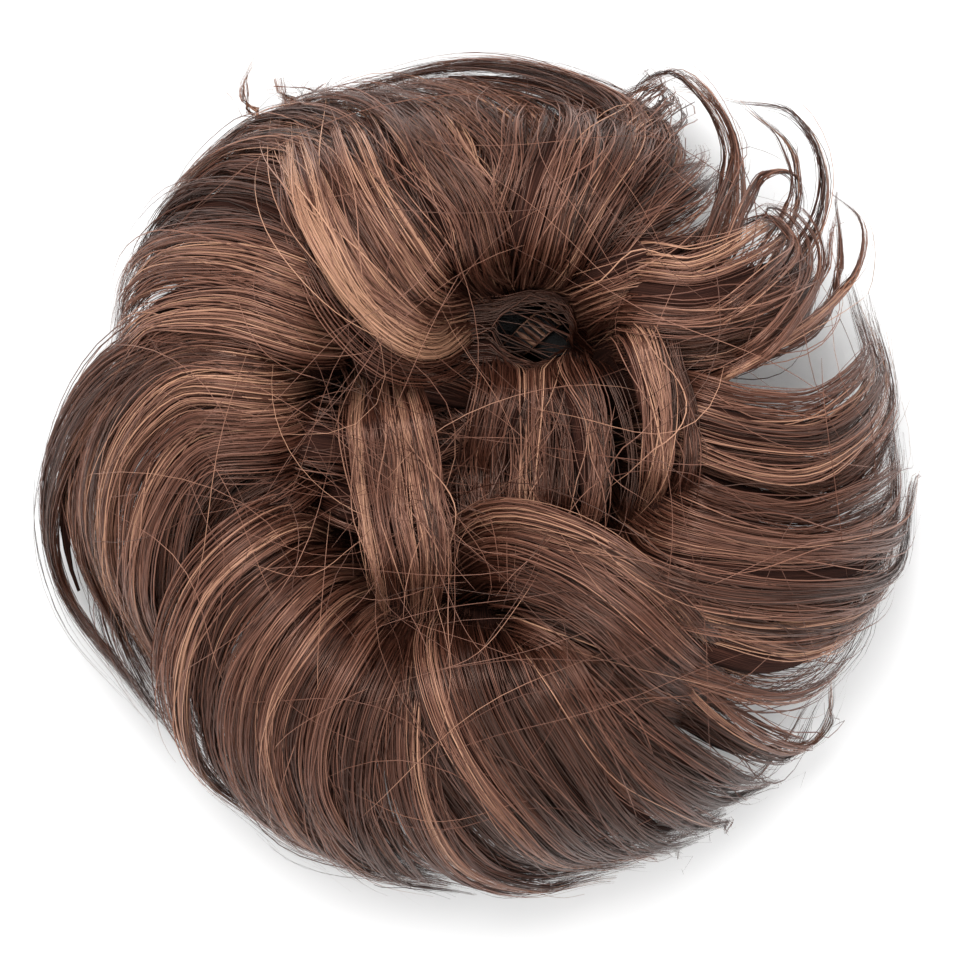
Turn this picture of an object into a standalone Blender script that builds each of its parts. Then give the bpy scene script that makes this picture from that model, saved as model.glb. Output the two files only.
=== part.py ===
import math
from collections import namedtuple

import bmesh
import bpy
from mathutils import Vector

# A top knot hairpiece: curled locks of hair round an elastic loop, lying on its underside.
# Metres, +Z up. The origin is under the middle of the bun, on the surface that it lies on.
BUN_WIDTH = 0.176
BUN_LENGTH = 0.169
BUN_HEIGHT = 0.062

# The elastic loop, and where its middle lies from the middle of the bun.
ELASTIC_RADIUS = 0.028
ELASTIC_THICKNESS = 0.008
ELASTIC_LIFT = 0.0115
ELASTIC_SHIFT_X = -0.0018
ELASTIC_SHIFT_Y = 0.0048

# The stitched tape that is wound round the elastic.
TAPE_WIDTH = 0.0052
TAPE_THICKNESS = 0.0010
TAPE_TURNS = 14
TAPE_TOP_ANGLE = 62.0

# Clearances: tape to elastic, and hair to tape.
TAPE_CLEARANCE = 0.0004
HAIR_CLEARANCE = 0.0005

# The ring of packed roots, which closes round the tape on all sides but the inner one.
ROOT_RING_WALL = 0.0042
ROOT_RING_SETTLE = 0.0016

# The packed hair inside the bun, round the root ring: an oval section, seen along the ring.
CORE_FROM_RING = 0.018
CORE_WIDTH = 0.038
CORE_TALL = 0.058
CORE_LIFT = 0.014

# The hollow inside the ring, where the wearer's own knot of hair goes.
HOLLOW_HEIGHT = 0.024
TAPE_STANDS_OUT = 0.0012

# The parting in the roots that shows the tape.
PARTING_LENGTH = 0.0135
PARTING_WIDTH = 0.0068
PARTING_HEIGHT = 0.019

# The dome that the locks follow: its crest and hollow, as shares of the bun's half width and height.
CREST_SHARE = 0.50
HOLLOW_SHARE = 0.46
DOME_POWER = 2.2
TURN_SHARE = 0.50
TURN_HEIGHT = 0.25

# Along a lock: how far its slope up from the roots reaches, how far from the tip it starts to drop and
# to thin, by how much, and how full it is at the root. SLOPE_SOFTNESS rounds the change of slope.
RISE_SHARE = 0.30
DROP_SHARE = 0.30
TIP_DROP = 0.30
THIN_SHARE = 0.38
TIP_SIZE = 0.28
ROOT_SIZE = 0.60
SLOPE_SOFTNESS = 0.06

# Where a lock starts in the root ring: its angle above the ring's plane, and its share of the wall.
ROOT_SLOPE = 62.0
ROOT_DEPTH = 0.4

# The lock table's points run this far along the bun's length, and the full 100 along its width.
LENGTH_REACH = 96

# Facets. A lock has a section at each step of its length, and its first side is its middle ridge.
LOCK_STEP = 0.0150
CURL_STEP = 0.0100
CURL_WIDTH = 7
LOCK_SIDES = 5
RING_SEGMENTS = 36
RING_SIDES = 12
TAPE_STEPS_PER_TURN = 10
CLOSE_POINTS = 0.00002

# One row for each lock. root is its angle on the elastic, in degrees. rise, crown, bend, fall and tip
# are the points that it passes, seen from above, in hundredths of the bun's half width. sink is how
# deep it lies in the dome and lift is the height that it keeps, in hundredths of the bun's height.
# width and depth are its section, in hundredths of the bun's half width and of its height.
Lock = namedtuple("Lock", "name root rise crown bend fall tip sink lift width depth")

LOCKS = [
    # packed hair low in the bun, which meets the surface
    Lock("under_left", 176, (-46, -2), (-66, -10), (-76, -26), (-70, -46), (-56, -64), 38, 4, 24, 36),
    Lock("under_left_back", 146, (-44, 26), (-60, 30), (-73, 22), (-81, 8), (-83, -8), 38, 4, 22, 36),
    Lock("under_back_left", 112, (-22, 48), (-36, 60), (-52, 62), (-66, 54), (-73, 42), 38, 4, 22, 36),
    Lock("under_back", 92, (-4, 54), (-6, 68), (-16, 78), (-30, 80), (-46, 74), 38, 4, 22, 36),
    Lock("under_back_right", 66, (14, 52), (18, 66), (28, 74), (40, 70), (47, 60), 38, 4, 22, 36),
    Lock("under_right", -30, (36, -26), (52, -37), (68, -38), (80, -30), (87, -16), 42, 4, 18, 30),
    Lock("under_front", -84, (2, -44), (8, -64), (22, -76), (38, -76), (50, -69), 38, 4, 24, 36),
    Lock("under_front_left", -124, (-34, -38), (-48, -56), (-43, -72), (-26, -81), (-6, -83), 38, 4, 24, 36),
    # the top layer that sweeps from the parting over the upper left
    Lock("sweep_outer", 80, (-11, 30), (-25, 38), (-35, 54), (-40, 70), (-44, 88), 0, 22, 12, 11),
    Lock("sweep_middle", 78, (-10, 39), (-19, 49), (-27, 62), (-32, 75), (-37, 87), 6, 22, 15, 12),
    Lock("sweep_inner", 76, (0, 47), (-4, 58), (-11, 68), (-19, 79), (-30, 88), 4, 22, 14, 12),
    Lock("sweep_back", 74, (3, 50), (0, 62), (-4, 73), (-9, 82), (-18, 90), 16, 24, 15, 12),
    Lock("top_rim", 69, (25, 56), (36, 76), (22, 87), (-4, 92), (-33, 87), 24, 28, 15, 14),
    Lock("tuft_back", 73, (6, 52), (7, 63), (7, 73), (3, 83), (-5, 90), 20, 24, 17, 14),
    Lock("tuft_left", 72, (10, 50), (13, 62), (16, 72), (18, 81), (15, 90), 2, 24, 14, 12),
    Lock("tuft_right", 70, (16, 50), (21, 61), (26, 71), (30, 79), (31, 86), 8, 24, 14, 12),
    Lock("fan_high", 69, (20, 50), (29, 61), (36, 69), (42, 76), (45, 80), 16, 16, 17, 12),
    Lock("fan_middle", 68, (22, 47), (32, 54), (41, 60), (49, 65), (54, 69), 22, 16, 18, 12),
    Lock("fan_low", 66, (23, 44), (33, 48), (42, 51), (50, 55), (56, 61), 14, 20, 14, 12),
    # the loose curls at the upper right
    Lock("curl_tall", 48, (44, 42), (56, 53), (57, 75), (47, 91), (35, 87), 25, 42, 6, 7),
    Lock("curl_wide", 38, (56, 34), (72, 48), (78, 67), (72, 82), (58, 86), 25, 40, 5, 6),
    Lock("curl_small", 30, (58, 25), (72, 39), (75, 53), (67, 61), (55, 54), 5, 52, 4, 6),
    Lock("curl_blunt", 34, (52, 29), (68, 34), (77, 43), (80, 53), (82, 63), 20, 46, 7, 7),
    # the right side above the gap
    Lock("right_fan_upper", 50, (32, 41), (48, 40), (61, 44), (70, 50), (74, 57), 8, 34, 14, 11),
    Lock("right_fan_lower", 42, (33, 33), (48, 33), (60, 36), (69, 42), (73, 50), 20, 34, 13, 11),
    Lock("right_band", 28, (38, 26), (52, 27), (63, 31), (72, 38), (77, 46), 30, 32, 10, 11),
    # the right rim round the gap
    Lock("gap_upper", 14, (42, 15), (60, 10), (77, 10), (89, 23), (85, 42), 10, 22, 13, 14),
    Lock("gap_outer", 8, (42, 9), (60, 3), (79, 2), (92, 15), (90, 35), 34, 6, 13, 16),
    Lock("right_turn", -8, (40, -6), (55, -13), (75, -16), (94, -6), (95, 16), 12, 12, 13, 15),
    Lock("right_bright", -18, (38, -17), (54, -22), (73, -23), (92, -19), (98, -4), 0, 16, 15, 14),
    Lock("right_under", -22, (38, -24), (54, -31), (72, -31), (87, -23), (94, -10), 24, 6, 14, 14),
    Lock("right_low", -28, (40, -31), (55, -38), (70, -41), (83, -36), (90, -25), 12, 10, 14, 13),
    Lock("side_loop", -36, (42, -40), (55, -54), (70, -62), (79, -57), (80, -48), 20, 20, 5, 7),
    Lock("right_foot", -44, (36, -46), (50, -55), (62, -62), (70, -62), (76, -52), 30, 6, 11, 12),
    # the bright lock that crosses the hollow, and the fan below it
    Lock("cross_bright", -110, (2, -17), (18, -20), (32, -28), (45, -40), (56, -49), 0, 20, 17, 12),
    Lock("cross_under", -88, (10, -28), (22, -33), (34, -40), (45, -47), (54, -54), 14, 12, 15, 12),
    Lock("front_fan_right", -80, (20, -43), (33, -55), (45, -64), (56, -70), (66, -70), 10, 6, 15, 14),
    Lock("front_fan_middle", -86, (9, -42), (20, -59), (31, -73), (43, -81), (55, -80), 6, 6, 16, 14),
    Lock("front_fan_left", -94, (-6, -38), (-1, -55), (10, -72), (23, -84), (40, -86), 0, 6, 16, 14),
    Lock("front_crescent", -100, (-15, -42), (-16, -65), (-7, -84), (10, -92), (27, -91), 8, 8, 12, 14),
    Lock("front_left_inner", -108, (-24, -38), (-31, -56), (-31, -74), (-22, -88), (-6, -93), 4, 8, 14, 14),
    # the round sweep at the lower left
    Lock("left_sweep_inner", -118, (-30, -34), (-39, -51), (-40, -68), (-31, -82), (-14, -91), 0, 8, 14, 14),
    Lock("left_sweep_middle", -128, (-36, -26), (-48, -41), (-51, -60), (-44, -76), (-29, -88), 2, 8, 16, 15),
    Lock("left_sweep_outer", -146, (-44, -14), (-58, -26), (-63, -46), (-58, -66), (-43, -81), 6, 8, 15, 15),
    # the lobe on the left
    Lock("left_arch_inner", 178, (-42, 2), (-55, -8), (-63, -24), (-64, -42), (-58, -58), 24, 8, 15, 14),
    Lock("left_arch_middle", 164, (-44, 11), (-62, 8), (-72, -8), (-74, -28), (-66, -48), 8, 10, 15, 14),
    Lock("left_arch_outer", 152, (-46, 20), (-66, 20), (-80, 4), (-82, -20), (-72, -44), 2, 10, 15, 15),
    Lock("left_rim", 142, (-54, 30), (-79, 22), (-93, 0), (-93, -24), (-76, -49), 6, 14, 12, 16),
    # the shoulder at the upper left
    Lock("shoulder_low", 128, (-36, 34), (-54, 39), (-70, 38), (-78, 30), (-79, 19), 2, 10, 14, 14),
    Lock("shoulder_middle", 118, (-34, 42), (-52, 49), (-68, 49), (-77, 42), (-80, 30), 4, 10, 14, 14),
    Lock("shoulder_high", 108, (-28, 50), (-46, 60), (-62, 61), (-72, 53), (-77, 44), 12, 10, 14, 14),
    Lock("shoulder_back", 98, (-20, 56), (-36, 70), (-52, 72), (-66, 63), (-74, 53), 14, 10, 15, 14),
    Lock("shoulder_rim", 90, (-15, 62), (-30, 79), (-47, 79), (-62, 68), (-74, 52), 26, 6, 13, 16),
    # the locks over the hollow
    Lock("bridge_left", 128, (-22, 16), (-20, 4), (-18, -8), (-16, -20), (-16, -32), 16, 10, 11, 9),
    Lock("drop_left", 78, (7, 22), (6, 12), (5, 2), (6, -10), (10, -25), 4, 50, 9, 9),
    Lock("drop_middle", 52, (20, 24), (24, 14), (25, 3), (24, -10), (20, -25), 20, 50, 12, 10),
    Lock("drop_right", 44, (34, 33), (38, 22), (40, 10), (39, 0), (36, -12), 6, 10, 9, 10),
    # the thin layer that closes the middle over the hollow
    Lock("cover_back", 22, (18, 22), (6, 25), (-6, 24), (-18, 20), (-32, 14), 60, 45, 18, 8),
    Lock("cover_middle", 112, (-6, 20), (2, 12), (10, 6), (19, 0), (32, -4), 60, 45, 20, 8),
    Lock("cover_left", 158, (-22, 10), (-12, 4), (-4, -2), (5, -10), (14, -24), 60, 45, 20, 8),
    Lock("cover_front", -150, (-18, -6), (-8, -10), (3, -11), (15, -12), (30, -16), 60, 45, 18, 8),
]


def smooth_step(value):
    value = min(1.0, max(0.0, value))
    return value * value * (3.0 - 2.0 * value)


def soft_max(a, b, softness):
    return 0.5 * (a + b + math.sqrt((a - b) ** 2 + softness ** 2))


def elastic_centre():
    return Vector((ELASTIC_SHIFT_X, ELASTIC_SHIFT_Y, ELASTIC_LIFT))


def tape_inner_radius():
    """Radius of the tape's corners, seen along the elastic, so that its flats clear the elastic."""
    return (ELASTIC_THICKNESS / 2 + TAPE_CLEARANCE) / math.cos(math.pi / TAPE_STEPS_PER_TURN)


def channel_radius():
    """Radius of the channel's corners in the root ring, so that its flats clear the tape."""
    return (tape_inner_radius() + TAPE_THICKNESS + HAIR_CLEARANCE) / math.cos(math.pi / RING_SIDES)


def spline_point(points, t):
    """Catmull-Rom spline through the points, for t from 0 to 1."""
    last = len(points) - 1
    place = min(t * last, last - 1e-6)
    k = int(place)
    f = place - k
    a, b = points[k], points[k + 1]
    before = points[k - 1] if k > 0 else 2 * a - b
    after = points[k + 2] if k + 2 <= last else 2 * b - a
    return 0.5 * (2 * a + (b - before) * f + (2 * before - 5 * a + 4 * b - after) * f * f
                  + (3 * a - before - 3 * b + after) * f ** 3)


def dome_height(x, y):
    """Height of the bun's outer form: a crest round the middle hollow, falling off to the rim."""
    q = math.hypot(x / (BUN_WIDTH / 2), y / (BUN_LENGTH / 2))
    if q < CREST_SHARE:
        return BUN_HEIGHT * (1.0 - HOLLOW_SHARE * (1.0 - q / CREST_SHARE) ** 2)
    fall = min(1.0, (q - CREST_SHARE) / (1.0 - CREST_SHARE))
    return BUN_HEIGHT * math.sqrt(1.0 - fall ** DOME_POWER)


def lock_root(lock):
    """Where a lock starts, inside the upper outer part of the root ring."""
    turn = math.radians(lock.root)
    slope = math.radians(ROOT_SLOPE)
    reach = channel_radius() + ROOT_RING_WALL * ROOT_DEPTH
    out = ELASTIC_RADIUS + reach * math.cos(slope)
    height = ELASTIC_LIFT - ROOT_RING_SETTLE + reach * math.sin(slope)
    return Vector((ELASTIC_SHIFT_X + out * math.cos(turn), ELASTIC_SHIFT_Y + out * math.sin(turn), height))


def lock_path(lock):
    """Middle line of a lock, from the root ring up to the dome and along it to the tip."""
    root = lock_root(lock)
    plan = [root.xy]
    for u, v in (lock.rise, lock.crown, lock.bend, lock.fall, lock.tip):
        plan.append(Vector((u / 100 * BUN_WIDTH / 2, v / LENGTH_REACH * BUN_LENGTH / 2)))
    step = CURL_STEP if lock.width <= CURL_WIDTH else LOCK_STEP
    length = sum((b - a).length for a, b in zip(plan, plan[1:]))
    sections = max(6, round(length / step))
    path = []
    for i in range(sections + 1):
        t = i / sections
        spot = spline_point(plan, t)
        height = dome_height(spot.x, spot.y) * (1.0 - lock.sink / 100) - lock.depth / 200 * BUN_HEIGHT
        height = soft_max(height, lock.lift / 100 * BUN_HEIGHT, SLOPE_SOFTNESS * BUN_HEIGHT)
        height *= 1.0 - TIP_DROP * smooth_step((t - 1.0 + DROP_SHARE) / DROP_SHARE)
        height = root.z + (height - root.z) * smooth_step(t / RISE_SHARE)
        path.append(Vector((spot.x, spot.y, height)))
    return path


def outward(point):
    """Direction out of the bun at a point: up over the middle, and turning outwards past it."""
    plan = Vector((point.x, point.y, 0.0))
    reach = TURN_SHARE * BUN_WIDTH / 2
    if plan.length <= reach:
        return Vector((0.0, 0.0, 1.0))
    middle = plan.normalized() * reach
    middle.z = TURN_HEIGHT * BUN_HEIGHT
    return (point - middle).normalized()


def swell(t):
    """Share of a lock's full section along it: narrower at the root, full, then a fine tip."""
    root_part = ROOT_SIZE + (1.0 - ROOT_SIZE) * smooth_step(t / RISE_SHARE)
    tip_part = 1.0 - (1.0 - TIP_SIZE) * smooth_step((t - 1.0 + THIN_SHARE) / THIN_SHARE)
    return root_part * tip_part


def skin(bm, sections, closed):
    """Join rings of vertices with quads, and cap the two ends unless the rings run in a circle."""
    count = len(sections)
    sides = len(sections[0])
    for i in range(count if closed else count - 1):
        near, far = sections[i], sections[(i + 1) % count]
        for j in range(sides):
            k = (j + 1) % sides
            bm.faces.new((near[j], near[k], far[k], far[j]))
    if not closed:
        bm.faces.new(list(reversed(sections[0])))
        bm.faces.new(sections[-1])
    bmesh.ops.recalc_face_normals(bm, faces=bm.faces)


def object_from(bm, name, collection):
    mesh = bpy.data.meshes.new(name)
    bm.to_mesh(mesh)
    bm.free()
    obj = bpy.data.objects.new(name, mesh)
    collection.objects.link(obj)
    return obj


def make_lock(lock, collection):
    """One lock: flattened sections lofted along its path, broad side to the outside of the bun."""
    path = lock_path(lock)
    last = len(path) - 1
    bm = bmesh.new()
    sections = []
    for i, point in enumerate(path):
        along = (path[min(i + 1, last)] - path[max(i - 1, 0)]).normalized()
        out = outward(point)
        out = (out - along * out.dot(along)).normalized()
        across = along.cross(out)
        size = swell(i / last)
        half_width = across * (lock.width / 400 * BUN_WIDTH * size)
        half_depth = out * (lock.depth / 200 * BUN_HEIGHT * size)
        section = []
        for j in range(LOCK_SIDES):
            turn = 2 * math.pi * (j / LOCK_SIDES + 0.25)
            section.append(bm.verts.new(point + half_width * math.cos(turn) + half_depth * math.sin(turn)))
        sections.append(section)
    skin(bm, sections, closed=False)
    return object_from(bm, lock.name, collection)


def make_turned_ring(name, radius, half_width, half_height, lift, collection):
    """An oval section turned about the elastic's axis."""
    points = []
    for i in range(RING_SIDES):
        turn = -2 * math.pi * (i + 0.5) / RING_SIDES
        points.append((radius + half_width * math.cos(turn), 0.0, lift + half_height * math.sin(turn)))
    mesh = bpy.data.meshes.new(name)
    mesh.from_pydata(points, [(i, (i + 1) % RING_SIDES) for i in range(RING_SIDES)], [])
    ring = bpy.data.objects.new(name, mesh)
    ring.location = (ELASTIC_SHIFT_X, ELASTIC_SHIFT_Y, 0.0)
    collection.objects.link(ring)
    turned = ring.modifiers.new("turn", "SCREW")
    turned.steps = RING_SEGMENTS
    turned.render_steps = RING_SEGMENTS
    turned.use_merge_vertices = True
    turned.merge_threshold = CLOSE_POINTS
    return ring


def move_to(obj, collection):
    for owner in list(obj.users_collection):
        owner.objects.unlink(obj)
    collection.objects.link(obj)


def make_cutters(collection):
    """What is cut from the hair: the surface below, the tape's channel, the hollow and the parting."""
    centre = elastic_centre()
    slab_height = BUN_HEIGHT
    bpy.ops.mesh.primitive_cube_add(size=1, location=(0, 0, -slab_height / 2))
    slab = bpy.context.object
    slab.name = "surface_slab"
    slab.scale = (BUN_WIDTH * 2, BUN_LENGTH * 2, slab_height)

    bpy.ops.mesh.primitive_torus_add(location=centre, major_radius=ELASTIC_RADIUS,
                                     minor_radius=channel_radius(),
                                     major_segments=RING_SEGMENTS, minor_segments=RING_SIDES)
    channel = bpy.context.object
    channel.name = "tape_channel"

    hollow_radius = ELASTIC_RADIUS - tape_inner_radius() - TAPE_THICKNESS + TAPE_STANDS_OUT
    depth = HOLLOW_HEIGHT + slab_height / 2
    bpy.ops.mesh.primitive_cylinder_add(vertices=RING_SEGMENTS, radius=hollow_radius, depth=depth,
                                        location=(centre.x, centre.y, HOLLOW_HEIGHT - depth / 2))
    hollow = bpy.context.object
    hollow.name = "hollow"

    turn = math.radians(TAPE_TOP_ANGLE)
    spot = centre + Vector((math.cos(turn), math.sin(turn), 0)) * ELASTIC_RADIUS
    bpy.ops.mesh.primitive_cube_add(size=1, location=(spot.x, spot.y, centre.z + PARTING_HEIGHT / 2))
    parting = bpy.context.object
    parting.name = "parting"
    parting.rotation_euler.z = turn - tape_lean()
    parting.scale = (PARTING_LENGTH, PARTING_WIDTH, PARTING_HEIGHT)

    cutters = [slab, channel, hollow, parting]
    for cutter in cutters:
        move_to(cutter, collection)
    return cutters


def evaluated_copy(obj, name, collection):
    """A plain mesh object, in the bun's own coordinates, of what an object's modifiers make."""
    bpy.context.view_layer.update()
    shown = obj.evaluated_get(bpy.context.evaluated_depsgraph_get())
    mesh = bpy.data.meshes.new_from_object(shown)
    mesh.transform(obj.matrix_world)
    copy = bpy.data.objects.new(name, mesh)
    collection.objects.link(copy)
    return copy


def fill_inner_voids(obj):
    """Small voids shut in between crossing locks are filled: their shells are removed."""
    bm = bmesh.new()
    bm.from_mesh(obj.data)
    left = set(bm.faces)
    shells = []
    while left:
        shell = set()
        edge_of_shell = [left.pop()]
        while edge_of_shell:
            face = edge_of_shell.pop()
            shell.add(face)
            for edge in face.edges:
                for other in edge.link_faces:
                    if other in left:
                        left.discard(other)
                        edge_of_shell.append(other)
        shells.append(shell)
    shells.sort(key=len)
    for shell in shells[:-1]:
        bmesh.ops.delete(bm, geom=list(shell), context="FACES")
    bmesh.ops.delete(bm, geom=[vert for vert in bm.verts if not vert.link_faces], context="VERTS")
    bm.to_mesh(obj.data)
    bm.free()


def make_hair(collection, workshop):
    """Locks, core and root ring joined into one body, then cut to the surface, tape and hollow."""
    locks = bpy.data.collections.new("locks")
    workshop.children.link(locks)
    for lock in LOCKS:
        make_lock(lock, locks)
    make_turned_ring("packed_core", ELASTIC_RADIUS + CORE_FROM_RING, CORE_WIDTH / 2, CORE_TALL / 2,
                     CORE_LIFT, locks)
    reach = channel_radius() + ROOT_RING_WALL
    lift = ELASTIC_LIFT - ROOT_RING_SETTLE
    ring = make_turned_ring("root_ring", ELASTIC_RADIUS, reach, reach, lift, workshop)
    joined = evaluated_copy(ring, "hair_joined", workshop)
    union = joined.modifiers.new("locks", "BOOLEAN")
    union.operation = "UNION"
    union.operand_type = "COLLECTION"
    union.collection = locks
    union.solver = "EXACT"
    union.use_self = True
    # EXACT leaves open edges where these cuts graze the locks, and MANIFOLD does not.
    for cutter in make_cutters(workshop):
        cut = joined.modifiers.new(cutter.name, "BOOLEAN")
        cut.operation = "DIFFERENCE"
        cut.object = cutter
        cut.solver = "MANIFOLD"
    tidy = joined.modifiers.new("close_points", "WELD")
    tidy.merge_threshold = CLOSE_POINTS
    hair = evaluated_copy(joined, "hair_locks", collection)
    fill_inner_voids(hair)
    return hair


def make_elastic(collection):
    bpy.ops.mesh.primitive_torus_add(location=elastic_centre(), major_radius=ELASTIC_RADIUS,
                                     minor_radius=ELASTIC_THICKNESS / 2,
                                     major_segments=RING_SEGMENTS, minor_segments=RING_SIDES)
    elastic = bpy.context.object
    elastic.name = "elastic_loop"
    move_to(elastic, collection)
    return elastic


def tape_lean():
    """Angle between the wound tape and the radius of the elastic, seen from above."""
    middle = tape_inner_radius() + TAPE_THICKNESS / 2
    return math.atan2(ELASTIC_RADIUS / TAPE_TURNS, middle)


def make_tape(collection):
    """The tape: a flat section swept along a helix that runs once round the elastic and closes."""
    centre = elastic_centre()
    steps = TAPE_TURNS * TAPE_STEPS_PER_TURN
    top = math.radians(TAPE_TOP_ANGLE)

    def spot(i, radius):
        turn = 2 * math.pi * i / steps
        wind = TAPE_TURNS * (turn - top) + math.pi / 2
        out = ELASTIC_RADIUS + radius * math.cos(wind)
        return centre + Vector((out * math.cos(turn), out * math.sin(turn), radius * math.sin(wind)))

    inner = tape_inner_radius()
    outer = inner + TAPE_THICKNESS
    bm = bmesh.new()
    sections = []
    for i in range(steps):
        along = (spot(i + 0.5, inner) - spot(i - 0.5, inner)).normalized()
        out = (spot(i, outer) - spot(i, inner)).normalized()
        side = along.cross(out).normalized() * (TAPE_WIDTH / 2)
        corners = (spot(i, inner) - side, spot(i, inner) + side, spot(i, outer) + side, spot(i, outer) - side)
        sections.append([bm.verts.new(corner) for corner in corners])
    skin(bm, sections, closed=True)
    return object_from(bm, "weft_tape", collection)


def make_material(name, colour, roughness):
    material = bpy.data.materials.new(name)
    material.use_nodes = True
    shader = material.node_tree.nodes["Principled BSDF"]
    shader.inputs["Base Color"].default_value = (*colour, 1.0)
    shader.inputs["Roughness"].default_value = roughness
    shader.inputs["Metallic"].default_value = 0.0
    return material


def main():
    for obj in list(bpy.data.objects):
        bpy.data.objects.remove(obj)
    part = bpy.data.collections.new("top_knot_hairpiece")
    workshop = bpy.data.collections.new("cutters")
    for collection in (part, workshop):
        bpy.context.scene.collection.children.link(collection)

    elastic = make_elastic(part)
    tape = make_tape(part)
    hair = make_hair(part, workshop)

    elastic.data.materials.append(make_material("black_elastic", (0.012, 0.011, 0.011), 0.75))
    tape.data.materials.append(make_material("black_tape", (0.016, 0.013, 0.013), 0.65))
    hair.data.materials.clear()
    hair.data.materials.append(make_material("brown_hair", (0.10, 0.048, 0.030), 0.42))

    for obj in workshop.all_objects:
        obj.hide_render = True
        obj.display_type = "WIRE"
    for obj in (elastic, tape, hair):
        obj.data.shade_smooth()
        obj.data.set_sharp_from_angle(angle=math.radians(40))


main()
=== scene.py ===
import math
from collections import namedtuple

import bpy
import numpy as np
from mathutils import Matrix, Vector


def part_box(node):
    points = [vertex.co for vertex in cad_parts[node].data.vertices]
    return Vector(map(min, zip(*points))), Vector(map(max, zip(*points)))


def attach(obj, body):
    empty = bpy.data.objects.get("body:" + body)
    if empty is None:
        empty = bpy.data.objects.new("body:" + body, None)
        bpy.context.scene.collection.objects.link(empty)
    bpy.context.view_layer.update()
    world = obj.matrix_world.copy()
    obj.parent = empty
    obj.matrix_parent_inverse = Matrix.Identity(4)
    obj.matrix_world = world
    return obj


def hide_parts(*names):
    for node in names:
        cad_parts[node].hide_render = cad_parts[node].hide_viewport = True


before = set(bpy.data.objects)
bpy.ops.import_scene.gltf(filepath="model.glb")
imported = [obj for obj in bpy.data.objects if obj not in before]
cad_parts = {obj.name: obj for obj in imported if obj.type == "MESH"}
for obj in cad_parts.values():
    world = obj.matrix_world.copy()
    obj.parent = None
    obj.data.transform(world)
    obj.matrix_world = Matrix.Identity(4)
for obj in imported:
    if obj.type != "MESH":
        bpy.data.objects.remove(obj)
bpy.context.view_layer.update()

elasticLow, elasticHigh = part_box("elastic_loop")
dice = np.random.default_rng(7)  # one seed for all the hair

# Metres, +Z up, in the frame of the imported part.
bun = {
    "width": 0.176,
    "length": 0.169,
    "height": 0.062,
    "reach": 96,  # the table's points run this far along the length, and 100 along the width
    "crestShare": 0.50,  # where the dome is highest, as a share of the half width
    "hollowShare": 0.46,  # how far the dome sinks in the middle
    "domePower": 2.2,
    "turnShare": 0.50,  # the locks turn round a ring this far out
    "turnHeight": 0.25,
    "riseShare": 0.30,  # the part of a lock that slopes up from the roots
    "dropShare": 0.30,
    "tipDrop": 0.30,
    "slopeSoftness": 0.06,
    "rootSize": 0.60,  # size of a lock at its root
    "thinning": 0.50,  # how much it thins to the tip
}

ring = {
    "x": (elasticLow.x + elasticHigh.x) / 2,
    "y": (elasticLow.y + elasticHigh.y) / 2,
    "z": (elasticLow.z + elasticHigh.z) / 2,
    "thickness": elasticHigh.z - elasticLow.z,
    "settle": 0.0016,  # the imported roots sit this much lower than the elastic
    "channel": 0.0061,  # radius of the roots' inner side, round the tape
    "wall": 0.0042,
    "rootSlope": 62.0,
    "rootDepth": 0.4,  # how deep in the wall the locks start
}
ring["radius"] = (elasticHigh.x - elasticLow.x - ring["thickness"]) / 2

parting = {
    "angle": 62.0,  # where on the ring the tape shows
    "lean": 23.6,  # how much the tape lies across the ring's radius there
    "reach": 22,  # degrees of the ring on each side whose locks keep clear of it
    "length": 0.0140,
    "width": 0.0120,
    "combed": 1.35,  # hair is pushed aside this many times as far out as the tape shows
    "keepOff": 0.011,  # strays stay this far from its middle
    "dimple": 0.26,  # how far the hair sinks round it
    "dimpleRadius": 0.018,
    "wellRadius": 0.012,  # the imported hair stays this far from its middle
}
parting["x"] = ring["x"] + ring["radius"] * math.cos(math.radians(parting["angle"]))
parting["y"] = ring["y"] + ring["radius"] * math.sin(math.radians(parting["angle"]))

strand = {
    "radius": 0.000118,
    "twist": 0.45,  # how much the hairs are turned about themselves
    "roundness": 0.9,  # how much a hair's edges shade as turned away
    "drift": 0.045,  # how much its tone changes along it
    "step": 0.0039,  # length of one straight bit of a hair
    "fewest": 10,  # points along a hair
    "most": 30,
    "perArea": 0.136,  # strands for each square millimetre of a lock's face
    "between": 0.6,  # how many more lie between two joined locks
    "clumpWidth": 0.0024,
    "floorGap": 0.0003,
    "rootWidth": 0.45,  # of its full width
    "rootTaper": 0.08,  # the part of a hair that widens from the root
    "tipWidth": 0.28,
    "tipTaper": 0.28,
    "thickness": (0.75, 1.2),  # thinnest and thickest, of the radius
}

# One row for each lock. part is the piece that it belongs to. root is its angle on the elastic. rise,
# crown, bend, fall and tip are the points that it passes, in hundredths of the bun's half width. sink
# and lift are its depth in the dome and the height that it keeps, in hundredths of the bun's height.
# width and depth are its section. fill is how much hair it has, tone how light it is, frizz how loose,
# and join is 1 where hair also fills the space between it and the row before. tone is partly the lock's
# own colour and partly painted shade: the locks over the hollow and at the front are set darker.
Lock = namedtuple("Lock", ["part", "name", "root", "rise", "crown", "bend", "fall", "tip", "sink", "lift",
                           "width", "depth", "fill", "tone", "frizz", "join"])

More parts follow.
